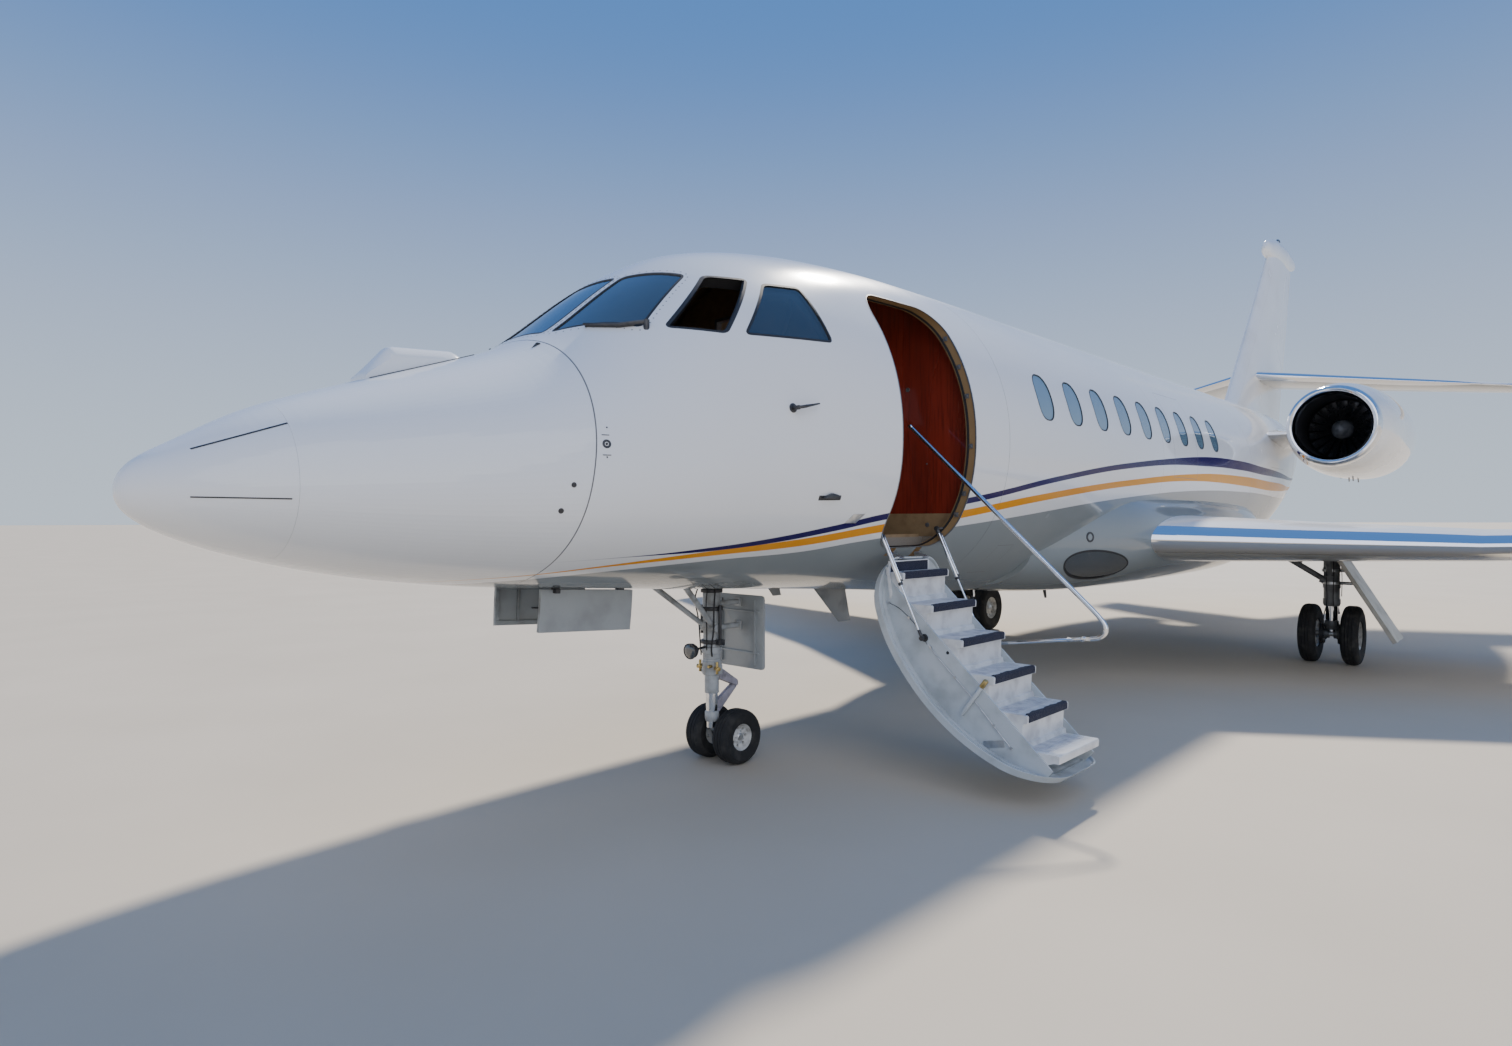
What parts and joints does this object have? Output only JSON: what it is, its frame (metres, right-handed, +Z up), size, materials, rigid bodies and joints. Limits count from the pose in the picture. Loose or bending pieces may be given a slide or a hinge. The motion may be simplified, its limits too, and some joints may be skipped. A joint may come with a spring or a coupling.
{
  "type": "twin engine business jet",
  "caption": "Parked business jet with rear-mounted engines, swept wings and tail, windowed hollow cabin, steerable nose gear, open nose doors and folding airstair with handrail.",
  "frame": {"origin": "Centre of the bounding box on the ground, under the tyres", "axes": "+Z up, nose towards -Y, port side with the airstair towards +X"},
  "size_m": [19.33, 20.23, 7.0522],
  "materials": {
    "white_paint": "gloss",
    "white_composite": "gloss",
    "grey_composite": "satin",
    "bright_metal": "polished",
    "bare_metal": "satin",
    "dark_glass": "gloss",
    "tyre": "matte",
    "stair_shell": "satin",
    "stair_steps": "satin",
    "cabin_panel": "matte",
    "dark_wood": "gloss",
    "instrument_grey": "matte",
    "seat_leather": "satin"
  },
  "bodies": {
    "airframe": {"nose_cone": "white_paint", "cockpit_section": "white_paint", "cabin_section": "white_paint", "tail_section": "white_paint", "sensor_fairing": "white_paint", "wing_left": "white_paint", "wing_right": "white_paint", "fin": "white_paint", "radome": "white_composite", "tailplane_left": "white_composite", "tailplane_right": "white_composite", "nacelle_left": "white_composite", "nacelle_right": "white_composite", "belly_fairing": "grey_composite", "leg_door_left": "grey_composite", "leg_door_right": "grey_composite", "nose_bay": "grey_composite", "inlet_lip_left": "bright_metal", "inlet_lip_right": "bright_metal", "engine_core_left": "bare_metal", "engine_core_right": "bare_metal", "nose_leg": "bare_metal", "main_leg_left": "bare_metal", "main_leg_right": "bare_metal", "cockpit_glazing": "dark_glass", "side_window_left": "dark_glass", "window_band_left": "dark_glass", "window_band_right": "dark_glass", "floor": "cabin_panel", "cockpit_bulkhead": "cabin_panel", "entry_cabinet": "dark_wood", "cabin_bulkhead": "dark_wood", "instrument_panel": "instrument_grey", "cockpit_seats": "seat_leather", "cabin_seats": "seat_leather"},
    "airstair": {"airstair": "stair_shell", "airstair_steps": "stair_steps"},
    "front_strut": {"front_strut_barrel": "bright_metal"},
    "rear_strut": {"rear_strut_barrel": "bright_metal"},
    "front_rod": {"front_strut_rod": "bare_metal"},
    "rear_rod": {"rear_strut_rod": "bare_metal"},
    "handrail": {"rail_link": "bright_metal", "handrail": "bright_metal"},
    "nose_fork": {"nose_fork": "bare_metal"},
    "nose_wheels": {"nose_wheels": "tyre"},
    "rudder": {"rudder": "white_paint"},
    "main_wheels_left": {"main_wheels_left": "tyre"},
    "nose_door_left": {"nose_door_left": "grey_composite"},
    "fan_left": {"fan_left": "bare_metal"},
    "flap_left": {"flap_left": "white_paint"},
    "aileron_left": {"aileron_left": "white_composite"},
    "elevator_left": {"elevator_left": "white_composite"},
    "main_wheels_right": {"main_wheels_right": "tyre"},
    "nose_door_right": {"nose_door_right": "grey_composite"},
    "fan_right": {"fan_right": "bare_metal"},
    "flap_right": {"flap_right": "white_paint"},
    "aileron_right": {"aileron_right": "white_composite"},
    "elevator_right": {"elevator_right": "white_composite"}
  },
  "joints": [
    {"name": "airstair_hinge", "type": "hinge", "parent": "airframe", "child": "airstair", "pos_m": [0.95, -6.01, 1.395], "axis": [0, -1, 0], "range_deg": [0, 140]},
    {"name": "front_strut_swing", "type": "hinge", "parent": "airframe", "child": "front_strut", "pos_m": [0.985, -6.353, 1.56], "axis": [0, -1, 0], "range_deg": [0, 153]},
    {"name": "front_rod_slide", "type": "slide", "parent": "front_strut", "child": "front_rod", "axis": [-0.4307, 0, 0.9025], "range_m": [0, 0.2927]},
    {"name": "rear_strut_swing", "type": "hinge", "parent": "airframe", "child": "rear_strut", "pos_m": [0.985, -5.673, 1.56], "axis": [0, -1, 0], "range_deg": [0, 153]},
    {"name": "rear_rod_slide", "type": "slide", "parent": "rear_strut", "child": "rear_rod", "axis": [-0.4307, 0, 0.9025], "range_m": [0, 0.2927]},
    {"name": "handrail_hinge", "type": "hinge", "parent": "airstair", "child": "handrail", "pos_m": [1.44, -5.725, 0.815], "axis": [0, 1, 0], "range_deg": [0, 56]},
    {"name": "nose_steering", "type": "hinge", "parent": "airframe", "child": "nose_fork", "pos_m": [0, -6.88, 0.6], "axis": [0, 0, 1], "range_deg": [-60, 60]},
    {"name": "nose_wheels_spin", "type": "hinge", "parent": "nose_fork", "child": "nose_wheels", "pos_m": [0, -6.776, 0.1812], "axis": [1, 0, 0], "continuous": true},
    {"name": "main_wheels_left_spin", "type": "hinge", "parent": "airframe", "child": "main_wheels_left", "pos_m": [2.225, 0.614, 0.32664], "axis": [1, 0, 0], "continuous": true},
    {"name": "main_wheels_right_spin", "type": "hinge", "parent": "airframe", "child": "main_wheels_right", "pos_m": [-2.225, 0.614, 0.32664], "axis": [1, 0, 0], "continuous": true},
    {"name": "nose_door_left_hinge", "type": "hinge", "parent": "airframe", "child": "nose_door_left", "pos_m": [0.24, -8.335, 1.267], "axis": [0, 0.998, -0.0632], "range_deg": [0, 86]},
    {"name": "nose_door_right_hinge", "type": "hinge", "parent": "airframe", "child": "nose_door_right", "pos_m": [-0.24, -8.335, 1.267], "axis": [0, -0.998, 0.0632], "range_deg": [0, 86]},
    {"name": "fan_left_spin", "type": "hinge", "parent": "airframe", "child": "fan_left", "pos_m": [1.97, 2.815, 2.81], "axis": [0, 1, 0], "continuous": true},
    {"name": "fan_right_spin", "type": "hinge", "parent": "airframe", "child": "fan_right", "pos_m": [-1.97, 2.815, 2.81], "axis": [0, 1, 0], "continuous": true},
    {"name": "flap_left_hinge", "type": "hinge", "parent": "airframe", "child": "flap_left", "pos_m": [1.62, 0.7686, 1.3257], "axis": [-0.9737, -0.2275, -0.014], "range_deg": [0, 40]},
    {"name": "flap_right_hinge", "type": "hinge", "parent": "airframe", "child": "flap_right", "pos_m": [-1.62, 0.7686, 1.3257], "axis": [-0.9737, 0.2275, 0.014], "range_deg": [0, 40]},
    {"name": "aileron_left_hinge", "type": "hinge", "parent": "airframe", "child": "aileron_left", "pos_m": [6.15, 1.87, 1.4219], "axis": [-0.9505, -0.3084, -0.0388], "range_deg": [-25, 25]},
    {"name": "aileron_right_hinge", "type": "hinge", "parent": "airframe", "child": "aileron_right", "pos_m": [-6.15, 1.87, 1.4219], "axis": [-0.9505, 0.3084, 0.0388], "range_deg": [-25, 25]},
    {"name": "elevator_left_hinge", "type": "hinge", "parent": "airframe", "child": "elevator_left", "pos_m": [0.43, 8.0595, 4.1485], "axis": [-0.8976, -0.4344, 0.0747], "range_deg": [-20, 16]},
    {"name": "elevator_right_hinge", "type": "hinge", "parent": "airframe", "child": "elevator_right", "pos_m": [-0.43, 8.0595, 4.1485], "axis": [-0.8976, 0.4344, -0.0747], "range_deg": [-20, 16]},
    {"name": "rudder_hinge", "type": "hinge", "parent": "airframe", "child": "rudder", "pos_m": [0, 8.1014, 4.87], "axis": [0, 0.4366, 0.8996], "range_deg": [-28, 28]}
  ],
  "couplings": [
    {"joint": "front_strut_swing", "follows": "airstair_hinge", "ratio": 1.0894},
    {"joint": "rear_strut_swing", "follows": "airstair_hinge", "ratio": 1.0894},
    {"joint": "front_rod_slide", "follows": "airstair_hinge", "m_per_rad": 0.11946},
    {"joint": "rear_rod_slide", "follows": "airstair_hinge", "m_per_rad": 0.11946},
    {"joint": "handrail_hinge", "follows": "airstair_hinge", "ratio": 0.4},
    {"joint": "flap_right_hinge", "follows": "flap_left_hinge", "ratio": 1},
    {"joint": "aileron_right_hinge", "follows": "aileron_left_hinge", "ratio": -1},
    {"joint": "elevator_right_hinge", "follows": "elevator_left_hinge", "ratio": 1}
  ]
}
